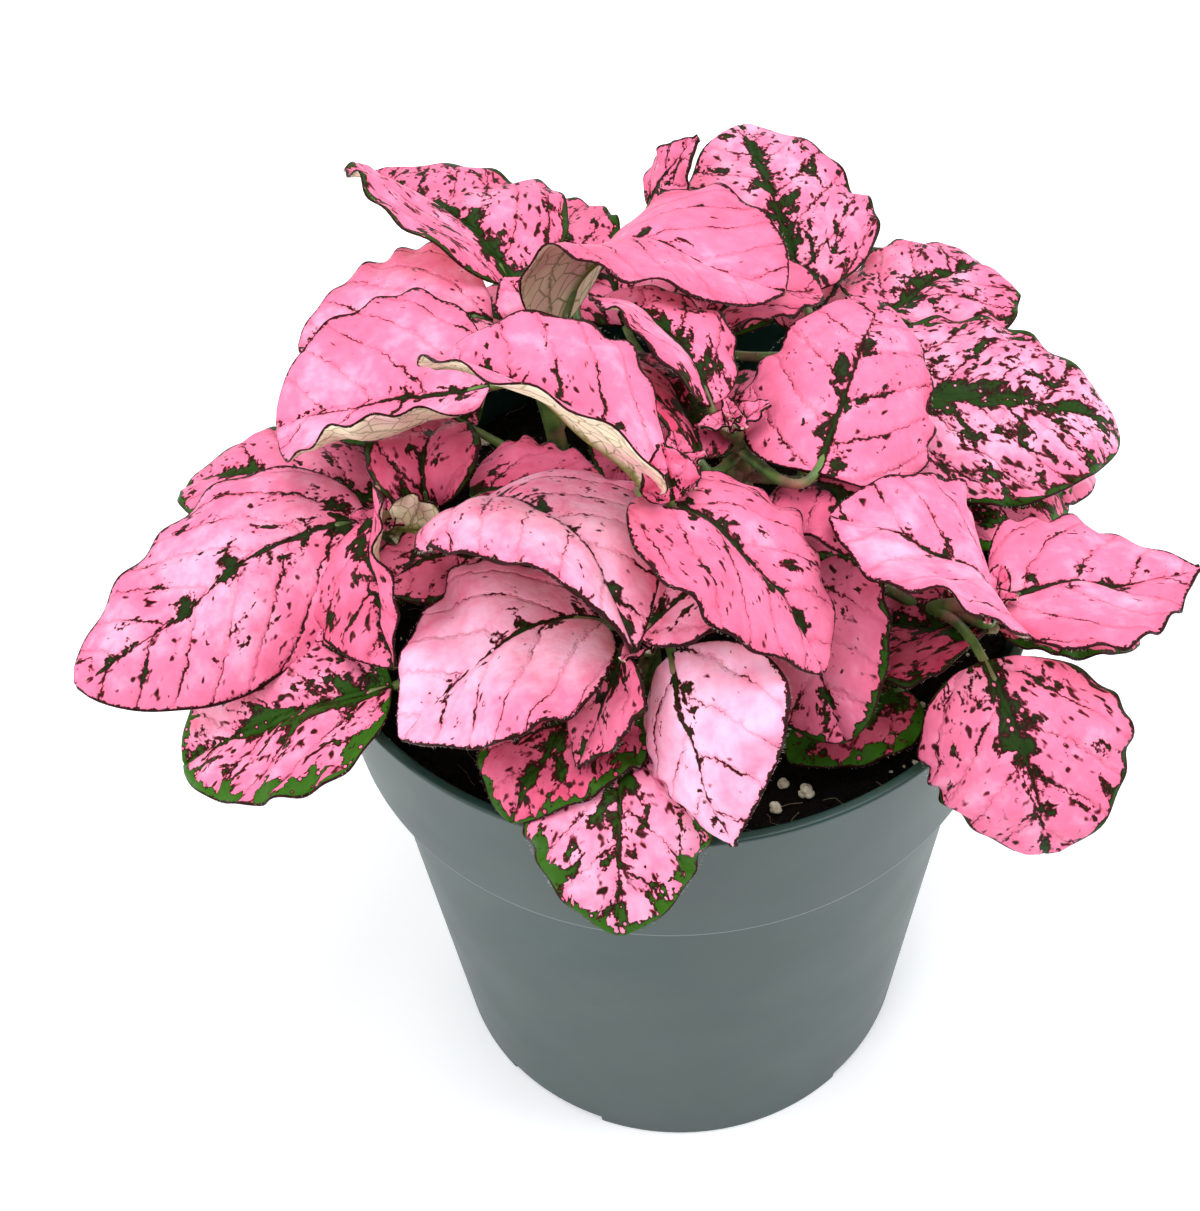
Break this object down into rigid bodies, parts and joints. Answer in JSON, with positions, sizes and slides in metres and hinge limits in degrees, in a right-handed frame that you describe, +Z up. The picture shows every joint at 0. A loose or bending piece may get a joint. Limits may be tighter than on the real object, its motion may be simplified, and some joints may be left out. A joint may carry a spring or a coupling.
{
  "type": "potted polka dot plant",
  "caption": "Polka dot plant with broad pink, green-spotted leaves on short branching stems, growing in a round tapered nursery pot of soil.",
  "frame": {"origin": "centre of the pot's flat underside, on the surface it stands on", "axes": "+Z up along the pot's axis; -Y is the front of the plant as pictured, +X its right"},
  "size_m": [0.1555, 0.1326, 0.1686],
  "materials": {
    "pot_plastic": "satin grey-green polypropylene",
    "potting_soil": "dark damp peat, rough",
    "leaf": "soft matte leaf, pink with dark green veins, spots and margins",
    "perlite": "chalky off-white mineral grain"
  },
  "bodies": {
    "root": {"pot": "pot_plastic", "soil": "potting_soil", "stem_left": "leaf", "stem_front": "leaf", "stem_centre": "leaf", "stem_back_left": "leaf", "stem_middle": "leaf", "stem_right": "leaf", "stem_back_right": "leaf", "stem_back": "leaf", "perlite_1": "perlite", "perlite_2": "perlite", "perlite_3": "perlite", "perlite_4": "perlite", "perlite_5": "perlite", "perlite_6": "perlite", "perlite_7": "perlite", "perlite_8": "perlite"}
  },
  "joints": []
}
